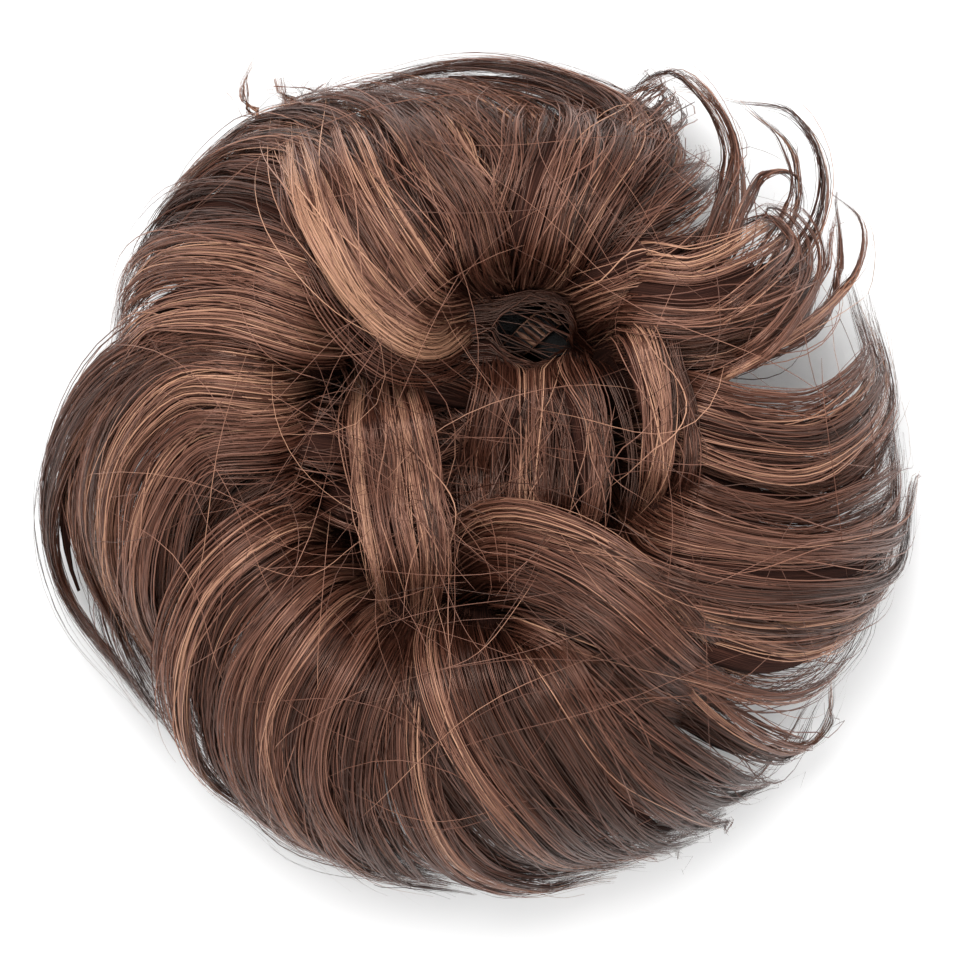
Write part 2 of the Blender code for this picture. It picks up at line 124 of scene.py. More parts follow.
lockRows = [
    # packed hair low in the bun
    Lock("under", "underLeft", 176, (-46, -2), (-66, -10), (-76, -26), (-70, -46), (-56, -64),
         40, 4, 22, 34, .45, -.3, .3, 0),
    Lock("under", "underLeftBack", 146, (-44, 26), (-60, 30), (-73, 22), (-81, 8), (-83, -8),
         40, 4, 20, 34, .45, -.3, .3, 0),
    Lock("under", "underBackLeft", 112, (-22, 48), (-36, 60), (-52, 62), (-66, 54), (-73, 42),
         40, 4, 20, 34, .45, -.3, .3, 0),
    Lock("under", "underBack", 92, (-4, 54), (-6, 68), (-16, 78), (-30, 80), (-46, 74),
         40, 4, 20, 34, .45, -.3, .3, 0),
    Lock("under", "underBackRight", 66, (14, 52), (18, 66), (28, 74), (40, 70), (47, 60),
         40, 4, 20, 34, .45, -.3, .3, 0),
    Lock("under", "underRight", -30, (36, -26), (52, -37), (68, -38), (80, -30), (87, -16),
         40, 4, 18, 34, .45, -.3, .3, 0),
    Lock("under", "underFront", -84, (2, -44), (8, -64), (22, -76), (38, -76), (50, -69),
         40, 4, 22, 34, .45, -.3, .3, 0),
    Lock("under", "underFrontLeft", -124, (-34, -38), (-48, -56), (-43, -72), (-26, -81), (-6, -83),
         40, 4, 22, 34, .45, -.3, .3, 0),
    # the top layer that sweeps from the parting over the upper left
    Lock("sweep", "sweepOuter", 80, (-11, 30), (-25, 38), (-35, 54), (-40, 70), (-44, 88),
         0, 22, 12, 11, 1.4, .5, .05, 0),
    Lock("sweep", "sweepMiddle", 78, (-10, 39), (-19, 49), (-27, 62), (-32, 75), (-37, 87),
         6, 22, 15, 12, 1.3, .25, .1, 1),
    Lock("sweep", "sweepInner", 76, (0, 47), (-4, 58), (-11, 68), (-19, 79), (-30, 88),
         4, 22, 14, 12, 1.0, .0, .3, 1),
    Lock("sweep", "sweepBack", 74, (3, 50), (0, 62), (-4, 73), (-9, 82), (-18, 90),
         16, 24, 15, 12, 1.0, -.05, .3, 1),
    Lock("sweep", "tuftBack", 73, (6, 52), (7, 63), (7, 73), (3, 83), (-5, 90),
         20, 24, 17, 14, 1.0, -.05, .4, 1),
    Lock("sweep", "tuftLeft", 72, (10, 50), (13, 62), (16, 72), (18, 81), (15, 90),
         2, 24, 14, 12, 1.0, .15, .4, 1),
    Lock("sweep", "tuftRight", 70, (16, 50), (21, 61), (26, 71), (30, 79), (31, 86),
         8, 24, 14, 12, 1.0, .0, .4, 1),
    Lock("sweep", "fanHigh", 69, (20, 50), (29, 61), (36, 69), (42, 76), (45, 80),
         16, 16, 17, 12, 1.0, -.05, .4, 1),
    Lock("sweep", "fanMiddle", 68, (22, 47), (32, 54), (41, 60), (49, 65), (54, 69),
         22, 16, 18, 12, 1.0, -.05, .4, 1),
    Lock("sweep", "fanLow", 66, (23, 44), (33, 48), (42, 51), (50, 55), (56, 61),
         14, 20, 14, 12, 1.0, .0, .4, 1),
    Lock("sweep", "topRim", 69, (25, 56), (36, 76), (22, 87), (-4, 92), (-33, 87),
         24, 28, 15, 14, 1.3, .0, .3, 0),
    Lock("sweep", "topFillRight", 70, (23, 54), (31, 69), (26, 81), (10, 87), (-12, 88),
         20, 26, 17, 14, 1.0, .0, .4, 0),
    Lock("sweep", "topFillMiddle", 73, (8, 55), (8, 70), (-2, 81), (-16, 86), (-34, 85),
         16, 26, 17, 14, 1.0, .05, .4, 0),
    Lock("sweep", "topFillLeft", 77, (-6, 54), (-14, 68), (-26, 79), (-40, 82), (-54, 76),
         18, 24, 16, 14, 1.0, .05, .3, 0),
    Lock("sweep", "topFringe", 70, (18, 56), (28, 71), (37, 80), (42, 86), (38, 92),
         26, 26, 12, 12, .8, .0, .8, 0),
    # the loose curls at the upper right
    Lock("side", "curlTall", 48, (44, 42), (56, 53), (57, 75), (47, 91), (35, 87),
         25, 42, 6, 7, 1.2, .1, .1, 0),
    Lock("side", "curlWide", 38, (56, 34), (72, 48), (78, 67), (72, 82), (58, 86),
         25, 40, 5, 6, .9, .1, .1, 0),
    Lock("side", "curlSmall", 30, (58, 25), (72, 39), (75, 53), (67, 61), (55, 54),
         5, 52, 4, 6, 1.2, .1, .05, 0),
    Lock("side", "curlBlunt", 34, (52, 29), (68, 34), (77, 43), (80, 53), (82, 63),
         20, 46, 7, 7, 1.2, .1, .1, 0),
    Lock("side", "curlOuter", 20, (50, 20), (70, 31), (84, 43), (88, 57), (80, 66),
         12, 44, 2, 3, 2.0, .2, .1, 0),
    Lock("side", "curlHook", 44, (50, 44), (60, 60), (66, 68), (72, 68), (75, 60),
         8, 44, 2, 3, 1.6, .2, .1, 0),
    Lock("side", "curlInner", 46, (46, 46), (54, 60), (58, 74), (52, 86), (41, 90),
         14, 44, 3, 4, 1.6, .1, .2, 0),
    Lock("side", "curlWideInner", 40, (56, 40), (66, 52), (72, 64), (70, 76), (62, 84),
         12, 42, 3, 4, 1.4, .1, .2, 0),
    Lock("side", "curlCross", 36, (50, 34), (64, 44), (71, 52), (66, 58), (56, 56),
         2, 54, 3, 4, 1.6, .2, .1, 0),
    # the right side above the gap
    Lock("side", "rightFanUpper", 50, (32, 41), (48, 40), (61, 44), (70, 50), (74, 57),
         8, 34, 14, 11, .9, .2, .3, 0),
    Lock("side", "rightFanLower", 42, (33, 33), (48, 33), (60, 36), (69, 42), (73, 50),
         20, 34, 13, 11, .9, .05, .3, 1),
    Lock("side", "rightBand", 28, (38, 26), (52, 27), (63, 31), (72, 38), (77, 46),
         30, 32, 10, 11, .9, .0, .2, 1),
    # the right rim round the gap
    Lock("side", "gapUpper", 14, (42, 15), (60, 10), (77, 10), (89, 23), (85, 42),
         10, 22, 13, 14, 1.0, .0, .1, 0),
    Lock("side", "gapOuter", 8, (42, 9), (60, 3), (79, 2), (92, 15), (90, 35),
         34, 6, 13, 16, 1.0, -.05, .1, 1),
    Lock("side", "gapLower", 0, (42, 2), (58, -5), (76, -7), (90, 3), (92, 20),
         26, 12, 10, 12, .5, .0, .3, 0),
    Lock("side", "rightTurn", -8, (40, -6), (55, -13), (75, -16), (94, -6), (95, 16),
         12, 12, 13, 15, 1.0, .0, .15, 0),
    Lock("side", "rightBright", -18, (38, -17), (54, -22), (73, -23), (92, -19), (98, -4),
         0, 16, 15, 14, 1.2, .15, .05, 1),
    Lock("side", "rightUnder", -22, (38, -24), (54, -31), (72, -31), (87, -23), (94, -10),
         24, 6, 14, 14, 1.0, .0, .1, 1),
    Lock("side", "rightLow", -28, (40, -31), (55, -38), (70, -41), (83, -36), (90, -25),
         12, 10, 14, 13, 1.0, .05, .2, 1),
    Lock("side", "sideLoop", -36, (42, -40), (55, -54), (70, -62), (79, -57), (80, -48),
         20, 20, 5, 7, 1.0, .1, .3, 0),
    Lock("side", "rightFoot", -44, (36, -46), (50, -55), (62, -62), (70, -62), (76, -52),
         30, 6, 11, 12, .8, .0, .3, 0),
    # the bright lock that crosses the hollow, and the fan below it; the locks under the bright one are set
    # darker as painted shade
    Lock("front", "crossBright", -110, (2, -17), (18, -20), (32, -28), (45, -40), (56, -49),
         0, 34, 19, 12, 1.7, .05, .05, 0),
    Lock("front", "crossUnder", -88, (10, -28), (22, -33), (34, -40), (45, -47), (54, -54),
         14, 12, 15, 12, 1.4, -.4, .1, 1),
    Lock("front", "frontFanRight", -80, (20, -43), (33, -55), (45, -64), (56, -70), (66, -70),
         10, 6, 15, 14, 1.3, -.6, .15, 0),
    Lock("front", "frontFanMiddle", -86, (9, -42), (20, -59), (31, -73), (43, -81), (55, -80),
         6, 6, 16, 14, 1.4, -.5, .1, 1),
    Lock("front", "frontFanLeft", -94, (-6, -38), (-1, -55), (10, -72), (23, -84), (40, -86),
         0, 6, 16, 14, 1.4, -.45, .1, 1),
    Lock("front", "frontFill", -97, (-10, -40), (-9, -60), (2, -78), (16, -87), (34, -88),
         8, 8, 15, 14, 1.0, -.4, .15, 1),
    Lock("front", "frontCrescent", -100, (-15, -42), (-16, -65), (-7, -84), (10, -92), (27, -91),
         8, 8, 12, 14, 1.1, -.2, .1, 1),
    Lock("front", "frontLeftInner", -108, (-24, -38), (-31, -56), (-31, -74), (-22, -88), (-6, -93),
         4, 8, 14, 14, 1.3, -.15, .15, 1),
    Lock("front", "frontLeftFill", -113, (-27, -36), (-35, -54), (-36, -71), (-27, -85), (-10, -92),
         8, 8, 14, 14, 1.2, -.2, .15, 1),
    # the round sweep at the lower left
    Lock("lobe", "leftSweepInner", -118, (-30, -34), (-39, -51), (-40, -68), (-31, -82), (-14, -91),
         0, 8, 15, 14, 1.4, .0, .2, 0),
    Lock("lobe", "leftSweepMiddle", -128, (-36, -26), (-48, -41), (-51, -60), (-44, -76), (-29, -88),
         2, 8, 16, 15, 1.0, .1, .2, 1),
    Lock("lobe", "leftSweepOuter", -146, (-44, -14), (-58, -26), (-63, -46), (-58, -66), (-43, -81),
         6, 8, 15, 15, 1.0, .0, .2, 1),
    # the lobe on the left
    Lock("lobe", "leftArchInner", 178, (-42, 2), (-55, -8), (-63, -24), (-64, -42), (-58, -58),
         24, 8, 15, 14, 1.0, -.05, .3, 1),
    Lock("lobe", "leftArchMiddle", 164, (-44, 11), (-62, 8), (-72, -8), (-74, -28), (-66, -48),
         8, 10, 15, 14, 1.0, .05, .2, 1),
    Lock("lobe", "leftArchOuter", 152, (-46, 20), (-66, 20), (-80, 4), (-82, -20), (-72, -44),
         2, 10, 15, 15, 1.1, .25, .1, 1),
    Lock("lobe", "leftRim", 142, (-54, 30), (-79, 22), (-93, 0), (-93, -24), (-76, -49),
         6, 14, 13, 16, 1.2, .05, .15, 1),
    Lock("lobe", "leftRimInner", 146, (-50, 26), (-73, 22), (-87, 4), (-88, -18), (-76, -44),
         14, 12, 14, 14, 1.0, .0, .2, 0),
    # the shoulder at the upper left
    Lock("shoulder", "shoulderLow", 128, (-36, 34), (-54, 39), (-70, 38), (-78, 30), (-79, 19),
         2, 10, 14, 14, 1.1, .15, .1, 0),
    Lock("shoulder", "shoulderMiddle", 118, (-34, 42), (-52, 49), (-68, 49), (-77, 42), (-80, 30),
         4, 10, 14, 14, 1.0, -.15, .2, 1),
    Lock("shoulder", "shoulderHigh", 108, (-28, 50), (-46, 60), (-62, 61), (-72, 53), (-77, 44),
         12, 10, 14, 14, 1.0, -.25, .2, 1),
    Lock("shoulder", "shoulderBack", 98, (-20, 56), (-36, 70), (-52, 72), (-66, 63), (-74, 53),
         14, 10, 15, 14, 1.0, -.2, .2, 1),
    Lock("shoulder", "shoulderRim", 90, (-15, 62), (-30, 79), (-47, 79), (-62, 68), (-74, 52),
         26, 6, 13, 16, 1.0, -.05, .2, 1),
    Lock("shoulder", "wispHigh", 92, (-22, 62), (-38, 76), (-50, 82), (-54, 90), (-51, 98),
         20, 20, 2, 2, 1.5, .2, .1, 0),
    # the locks over the hollow, most set darker as painted shade
    Lock("middle", "bridgeLeft", 128, (-22, 16), (-20, 4), (-18, -8), (-16, -20), (-16, -32),
         4, 12, 14, 9, 2.1, .2, .0, 0),
    Lock("middle", "dropLeft", 80, (7, 22), (5, 12), (3, 2), (4, -10), (8, -25),
         4, 50, 13, 9, 1.1, -.5, .2, 0),
    Lock("middle", "dropFan", 64, (13, 24), (13, 13), (13, 2), (13, -10), (15, -24),
         10, 50, 13, 9, 1.1, -.2, .15, 1),
    Lock("middle", "dropMiddle", 52, (20, 24), (24, 14), (25, 3), (24, -10), (20, -25),
         16, 50, 14, 10, 1.1, -.6, .15, 1),
    Lock("middle", "dropRight", 44, (34, 33), (38, 22), (40, 10), (39, 0), (36, -12),
         4, 10, 11, 10, 1.6, .2, .1, 0),
    Lock("middle", "crossLeft", 152, (-43, 10), (-28, 6), (-13, 4), (0, 9), (8, 17),
         24, 44, 13, 7, .4, -.5, .35, 0),
    Lock("middle", "crossLow", -170, (-34, -4), (-20, -9), (-6, -9), (8, -5), (20, 3),
         30, 42, 14, 7, .4, -.4, .4, 0),
    Lock("middle", "crossHigh", 118, (-26, 28), (-14, 22), (-2, 18), (8, 12), (18, 6),
         34, 42, 13, 7, .35, -.5, .4, 0),
    # the thin layer that closes the middle over the hollow, dark as painted shade
    Lock("middle", "coverBack", 22, (18, 22), (6, 25), (-6, 24), (-18, 20), (-32, 14),
         60, 45, 20, 8, .7, -.6, .3, 0),
    Lock("middle", "coverMiddle", 112, (-6, 20), (2, 12), (10, 6), (19, 0), (32, -4),
         60, 45, 22, 8, .7, -.6, .3, 0),
    Lock("middle", "coverLeft", 158, (-22, 10), (-12, 4), (-4, -2), (5, -10), (14, -24),
         60, 45, 22, 8, .7, -.6, .3, 0),
    Lock("middle", "coverFront", -150, (-18, -6), (-8, -10), (3, -11), (15, -12), (30, -16),
         60, 45, 20, 8, .7, -.6, .3, 0),
]


def smoothStep(value):
    value = np.clip(value, 0.0, 1.0)
    return value * value * (3.0 - 2.0 * value)


def mix(a, b, share):
    return a + (b - a) * share


def unit(vectors):
    return vectors / np.maximum(np.linalg.norm(vectors, axis=-1, keepdims=True), 1e-12)


def splinePoints(points, t):
    # Catmull-Rom through the points; t past 1 runs on along the last turn
    last = len(points) - 1
    place = t * last
    k = np.minimum(place.astype(int), last - 1)
    beyond = np.maximum(place - last, 0.0)[:, None]
    f = np.minimum(place - k, 1.0)[:, None]
    padded = np.vstack([2 * points[0] - points[1], points, 2 * points[-1] - points[-2]])
    before, a, b, after = padded[k], padded[k + 1], padded[k + 2], padded[k + 3]
    spot = 0.5 * (2 * a + (b - before) * f + (2 * before - 5 * a + 4 * b - after) * f ** 2
                  + (3 * a - before - 3 * b + after) * f ** 3)
    return spot + beyond * 0.5 * (after - a)


def domeHeight(x, y):
    q = np.hypot(x / (bun["width"] / 2), y / (bun["length"] / 2))
    inner = 1.0 - bun["hollowShare"] * (1.0 - np.minimum(q / bun["crestShare"], 1.0)) ** 2
    fall = np.clip((q - bun["crestShare"]) / (1.0 - bun["crestShare"]), 0.0, 1.0)
    height = bun["height"] * np.where(q < bun["crestShare"], inner, np.sqrt(1.0 - fall ** bun["domePower"]))
    away = np.hypot(x - parting["x"], y - parting["y"]) / parting["dimpleRadius"]
    return height * (1.0 - parting["dimple"] * np.exp(-away ** 2))


def rootPoint(angle):
    turn, slope = math.radians(angle), math.radians(ring["rootSlope"])
    reach = ring["channel"] + ring["wall"] * ring["rootDepth"]
    out = ring["radius"] + reach * math.cos(slope)
    return np.array([ring["x"] + out * math.cos(turn), ring["y"] + out * math.sin(turn),
                     ring["z"] - ring["settle"] + reach * math.sin(slope)])


def lockFrame(lock, samples=56):
    # middle line of a lock, with its across and outward directions and its half width and depth
    root = rootPoint(lock.root)
    plan = np.array([root[:2]] + [(u / 100 * bun["width"] / 2, v / bun["reach"] * bun["length"] / 2)
                                  for u, v in (lock.rise, lock.crown, lock.bend, lock.fall, lock.tip)])
    t = np.linspace(0.0, 1.1, samples)
    spot = splinePoints(plan, t)
    height = domeHeight(spot[:, 0], spot[:, 1]) * (1 - lock.sink / 100) - lock.depth / 200 * bun["height"]
    keep = lock.lift / 100 * bun["height"]
    soft = bun["slopeSoftness"] * bun["height"]
    height = 0.5 * (height + keep + np.sqrt((height - keep) ** 2 + soft ** 2))
    height *= 1.0 - bun["tipDrop"] * smoothStep((t - 1 + bun["dropShare"]) / bun["dropShare"])
    height = mix(root[2], height, smoothStep(t / bun["riseShare"]))
    path = np.column_stack([spot, height])
    along = unit(np.gradient(path, axis=0))
    reach = bun["turnShare"] * bun["width"] / 2
    plain = np.column_stack([spot, np.zeros(samples)])
    far = np.linalg.norm(plain, axis=1, keepdims=True)
    core = unit(plain) * reach
    core[:, 2] = bun["turnHeight"] * bun["height"]
    out = np.where(far <= reach, np.array([0.0, 0.0, 1.0]), unit(path - core))
    out = unit(out - along * np.sum(out * along, axis=1, keepdims=True))
    across = np.cross(along, out)
    length = np.sum(np.linalg.norm(np.diff(path, axis=0), axis=1)) / 1.1
    return {"t": t, "path": path, "along": along, "out": out, "across": across, "length": length,
            "halfWidth": lock.width / 400 * bun["width"], "halfDepth": lock.depth / 200 * bun["height"]}


def swell(t):
    rootPart = mix(bun["rootSize"], 1.0, smoothStep(t / bun["riseShare"]))
    return rootPart * (1.0 - bun["thinning"] * smoothStep((t - 0.66) / 0.40))


def sampleFrame(base, t, key):
    flat = t.ravel()
    values = [np.interp(flat, base["t"], base[key][:, k]) for k in range(3)]
    return np.stack(values, axis=1).reshape(*t.shape, 3)


def wander(count, points, waves, size):
    # smooth random side steps that grow along each strand
    s = np.linspace(0.0, 1.0, points)[None, :]
    total = np.zeros((count, points))
    for wave in waves:
        phase = dice.uniform(0, 2 * math.pi, (count, 1))
        pace = wave * dice.uniform(0.7, 1.3, (count, 1))
        total += np.sin(2 * math.pi * pace * s + phase) * dice.normal(0, 1, (count, 1)) / math.sqrt(wave)
    return total * size * (0.25 + 0.75 * s)


# how the hairs of a lock gather and stray; pairs are across the lock and up from it
gathering = {
    "wispsPerWidth": 3.2,
    "wispReach": 1.25,  # how far out the wisps lie, of the lock's half width
    "wispEnds": (0.80, 1.05),  # where they end, along the lock
    "rootSpread": (0.27, 0.20),
    "tipSpread": (0.11, 0.12),
    "wispSway": (0.0007, 0.0004),
    "hairSway": (0.00030, 0.00016),
    "looseSway": (0.0028, 0.0012),
    "looseShare": 0.05,
    "looseByFrizz": 0.16,
    "startPast": 0.15,  # where the locks over the middle start, beside the parting
    "fillSink": 0.45,
    "tone": 0.52,
    # how much each lock's tone counts; that tone is partly painted shade
    "lockToneAndShade": 0.30,
    "wispTone": 0.16,
    "hairTone": 0.12,
    # painted shade: hairs that fill between two locks are this much darker
    "fillPaintedShade": 0.12,
    "depthPaintedShade": 0.10,  # painted shade: hairs deeper in the lock are darker and the outer ones lighter, by this much
}


def lockStrands(lock, base, count, fillFrom=None):
    # hairs of one lock, gathered in wisps; fillFrom is the neighbour that in-between hairs lean to
    points = int(np.clip(round(base["length"] / strand["step"]), strand["fewest"], strand["most"]))
    wisps = max(4, round(gathering["wispsPerWidth"] * base["halfWidth"] / strand["clumpWidth"]))
    wisp = dice.integers(0, wisps, count)
    wispA = dice.uniform(-gathering["wispReach"], gathering["wispReach"], wisps)
    wispB = np.sqrt(np.clip(1 - (wispA / 1.3) ** 2, 0, 1)) * dice.uniform(0.45, 1.05, wisps)
    startA = wispA[wisp] * 0.85 + dice.normal(0, gathering["rootSpread"][0], count)
    startB = wispB[wisp] + dice.normal(0, gathering["rootSpread"][1], count)
    endA = wispA[wisp] * 1.1 + dice.normal(0, gathering["tipSpread"][0], count)
    endB = wispB[wisp] + dice.normal(0, gathering["tipSpread"][1], count)
    tips = dice.uniform(*gathering["wispEnds"], wisps)[wisp] + dice.normal(0, 0.05, count)
    tips = np.clip(tips, 0.45, 1.05)
    starts = np.clip(dice.normal(0.02, 0.02, count), 0, 0.1)
    if lock.part == "middle" and abs(lock.root - parting["angle"]) < parting["reach"]:
        starts += gathering["startPast"]
    s = np.linspace(0.0, 1.0, points)[None, :]
    t = mix(starts[:, None], tips[:, None], s)
    gather = s ** 0.9
    full = swell(t)
    a = mix(startA[:, None], endA[:, None], gather) * full * base["halfWidth"] * 1.12
    b = mix(startB[:, None], endB[:, None], gather) * full * base["halfDepth"]
    wispSway = wander(wisps, points, (0.8, 1.7), gathering["wispSway"][0])
    wispLift = wander(wisps, points, (0.8, 1.7), gathering["wispSway"][1])
    a += wispSway[wisp] + wander(count, points, (0.8, 1.7, 2.6), gathering["hairSway"][0])
    b += wispLift[wisp] + wander(count, points, (0.8, 1.7, 2.6), gathering["hairSway"][1])
    loose = dice.random(count) < gathering["looseShare"] + gathering["looseByFrizz"] * lock.frizz
    a[loose] += wander(loose.sum(), points, (0.6, 1.2), gathering["looseSway"][0])
    b[loose] += np.abs(wander(loose.sum(), points, (0.6, 1.2), gathering["looseSway"][1]))
    b[loose] += strand["floorGap"]
    path, across, out = (sampleFrame(base, t, key) for key in ("path", "across", "out"))
    if fillFrom is not None:
        lean = dice.uniform(0.15, 0.85, wisps)[wisp][:, None, None]
        path = mix(path, sampleFrame(fillFrom, t, "path"), lean)
        across = unit(mix(across, sampleFrame(fillFrom, t, "across"), lean))
        out = unit(mix(out, sampleFrame(fillFrom, t, "out"), lean))
        b -= base["halfDepth"] * gathering["fillSink"]
    place = path + across * a[..., None] + out * b[..., None]
    wispTone = dice.normal(0, gathering["wispTone"], wisps)[wisp]
    # painted shade: hairs between two locks come out darker
    if fillFrom is not None:
        wispTone -= gathering["fillPaintedShade"]
    hairTone = dice.normal(0, gathering["hairTone"], count)
    # painted shade: the hairs deeper in the lock come out darker
    depthPaintedShade = gathering["depthPaintedShade"] * (startB - 0.6)
    # the sum holds painted shade from the lock, the fill and the depth, besides the hair's own colour
    tone = gathering["tone"] + gathering["lockToneAndShade"] * lock.tone + wispTone + hairTone + depthPaintedShade
    radius = np.full(count, strand["radius"]) * dice.uniform(*strand["thickness"], count)
    return {"place": place, "out": out, "tone": np.clip(tone, 0, 1), "radius": radius}


# loose hairs near the middle, and all over; lengths are the shortest and the longest
stray = {
    "radius": 0.00006,
    "points": 12,
    "middle": {"count": 50, "spread": 0.27, "lengths": (0.020, 0.050), "lift": 0.0014},
    "all": {"count": 170, "spread": 0.50, "lengths": (0.025, 0.070), "lift": 0.0012},
    "bend": 0.9,
    "wave": 0.22,
    "tone": 0.58,
    "toneSpread": 0.15,
}


def strayStrands(count, spread, lengths, lift):
    # single loose hairs that lie across the locks
    s = np.linspace(0.0, 1.0, stray["points"])[None, :]
    heading = dice.uniform(0, 2 * math.pi, (count, 1))
    angle = heading + dice.normal(0, stray["bend"], (count, 1)) * (s - 0.5)
    wave = dice.normal(0, stray["wave"], (count, 1))
    angle = angle + wave * np.sin(2 * math.pi * (s + dice.random((count, 1))))
    step = dice.uniform(*lengths, (count, 1)) / (stray["points"] - 1)
    middle = dice.normal(0, spread, (count, 2))
    x = np.cumsum(np.cos(angle) * step, axis=1)
    y = np.cumsum(np.sin(angle) * step, axis=1)
    x += middle[:, :1] * bun["width"] / 2 - x.mean(axis=1, keepdims=True)
    y += middle[:, 1:] * bun["length"] / 2 - y.mean(axis=1, keepdims=True)
    q = np.hypot(x / (bun["width"] / 2), y / (bun["length"] / 2))
    keep = np.minimum(1.0, 0.90 / np.maximum(q, 0.01))
    x, y = x * keep, y * keep
    near = np.hypot(x - parting["x"], y - parting["y"]).min(axis=1) > parting["keepOff"]
    x, y, s = x[near], y[near], s + np.zeros((near.sum(), 1))
    count = near.sum()
    rise = lift * (0.3 + np.abs(dice.normal(0, 1, (count, 1))) * np.sin(math.pi * s) ** 2)
    place = np.stack([x, y, domeHeight(x, y) + rise], axis=-1)
    out = np.broadcast_to(np.array([0.0, 0.0, 1.0]), place.shape)
    tone = dice.normal(stray["tone"], stray["toneSpread"], count)
    return {"place": place, "out": out, "tone": np.clip(tone, 0, 1),
            "radius": stray["radius"] * dice.uniform(0.8, 1.25, count)}


def openParting(place):
    # hairs are combed aside where the wound tape shows
    turn = math.radians(parting["angle"])
    centre = np.array([parting["x"], parting["y"]])
    turn -= math.radians(parting["lean"])
    alongDir = np.array([math.cos(turn), math.sin(turn)])
    acrossDir = np.array([-alongDir[1], alongDir[0]])
    away = place[..., :2] - centre
    p = away @ alongDir / (parting["length"] / 2)
    q = away @ acrossDir / (parting["width"] / 2)
    r = np.hypot(p, q)
    edge = parting["combed"]
    push = np.where(r < edge, (1.0 + (edge - 1.0) * r / edge - r) / np.maximum(r, 0.05), 0.0)
    push = np.clip(push, 0, 6) * (r < edge)
    p, q = p * parting["length"] / 2, q * parting["width"] / 2
    place[..., 0] += push * (p * alongDir[0] + q * acrossDir[0])
    place[..., 1] += push * (p * alongDir[1] + q * acrossDir[1])
    return place


def meshFrom(name, points, faces, sides, attributes, uvs, material):
    # a mesh straight from arrays: faces all have the same number of sides
    mesh = bpy.data.meshes.new(name)
    mesh.vertices.add(len(points))
    mesh.vertices.foreach_set("co", points.astype(np.float32).ravel())
    mesh.loops.add(faces.size)
    mesh.loops.foreach_set("vertex_index", faces.astype(np.int32).ravel())
    mesh.polygons.add(len(faces))
    mesh.polygons.foreach_set("loop_start", np.arange(0, faces.size, sides, dtype=np.int32))
    mesh.polygons.foreach_set("loop_total", np.full(len(faces), sides, dtype=np.int32))
    mesh.update(calc_edges=True)
    mesh.shade_smooth()
    for key, values in attributes.items():
        attribute = mesh.attributes.new(key, "FLOAT", "POINT")
        attribute.data.foreach_set("value", values.astype(np.float32).ravel())
    mesh.uv_layers.new(name="OFBake").data.foreach_set("uv", uvs.astype(np.float32).ravel())
    obj = bpy.data.objects.new(name, mesh)
    bpy.context.scene.collection.objects.link(obj)
    mesh.materials.append(material)
    return obj


def ribbons(name, groups, material):
    # a narrow strip for each hair, thinner at both ends, that shades as a round one
    total = sum(len(group["tone"]) for group in groups)
    columns = max(1, int(math.sqrt(total) * 2.4))
    rows = math.ceil(total / columns)
    verts, normals, faces, uvs, tones = [], [], [], [], []
    first, offset = 0, 0
    for group in groups:
        place, out, tone, radius = group["place"], group["out"], group["tone"], group["radius"]
        count, points = place.shape[:2]
        place[..., 2] = np.maximum(place[..., 2], radius[:, None] + strand["floorGap"])
        along = unit(np.gradient(place, axis=1))
        up = unit(out - along * np.sum(out * along, axis=2, keepdims=True))
        side = np.cross(along, up)
        twist = dice.normal(0, strand["twist"], count)[:, None, None]
        side, up = np.cos(twist) * side + np.sin(twist) * up, np.cos(twist) * up - np.sin(twist) * side
        s = np.linspace(0, 1, points)
        taper = mix(strand["rootWidth"], 1.0, smoothStep(s / strand["rootTaper"]))
        taper *= mix(1.0, strand["tipWidth"], smoothStep((s - 1 + strand["tipTaper"]) / strand["tipTaper"]))
        r = (radius[:, None] * taper[None, :])[..., None]
        verts.append(np.stack([place - r * side, place + r * side], axis=2).reshape(-1, 3))
        roll = strand["roundness"] * side
        normals.append(unit(np.stack([up - roll, up + roll], axis=2)).reshape(-1, 3))
        index = offset + np.arange(count * points * 2).reshape(count, points, 2)
        near, far = index[:, :-1], index[:, 1:]
        faces.append(np.stack([near[..., 0], near[..., 1], far[..., 1], far[..., 0]], axis=-1).reshape(-1, 4))
        # each hair has a cell of its own in the map
        number = first + np.arange(count)
        u = np.broadcast_to(((number % columns) / columns)[:, None], (count, points - 1))
        v = ((number // columns) / rows)[:, None] + (0.04 + 0.92 * s) / rows
        uLow, uHigh = u + 0.12 / columns, u + 0.88 / columns
        corners = [(uLow, v[:, :-1]), (uHigh, v[:, :-1]), (uHigh, v[:, 1:]), (uLow, v[:, 1:])]
        uvs.append(np.stack([np.stack(corner, -1) for corner in corners], axis=2).reshape(-1, 2))
        phase = dice.uniform(0, 2 * math.pi, (2, count, 1))
        drift = np.sin(7 * s + phase[0]) + np.sin(15 * s + phase[1])
        tones.append(np.repeat(np.clip(tone[:, None] + strand["drift"] * drift, 0, 1).ravel(), 2))
        first += count
        offset += count * points * 2
    attributes = {"tone": np.concatenate(tones)}
    obj = meshFrom(name, np.concatenate(verts), np.concatenate(faces), 4, attributes,
                   np.concatenate(uvs), material)
    obj.data.normals_split_custom_set_from_vertices(np.concatenate(normals).astype(np.float32))
    print("made", name, "with", total, "hairs and", 2 * len(obj.data.polygons), "triangles")
    return obj


packed = {
    "share": 0.66,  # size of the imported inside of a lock, of the lock's own
    "sections": 22,
    "sides": 8,
    "startPast": 0.22,  # where it starts beside the parting
    "end": 0.82,
    "thinFrom": 0.45,
    "thinning": 0.88,
    "ripple": 0.10,
    "widest": 7,  # locks up to this width have none
}


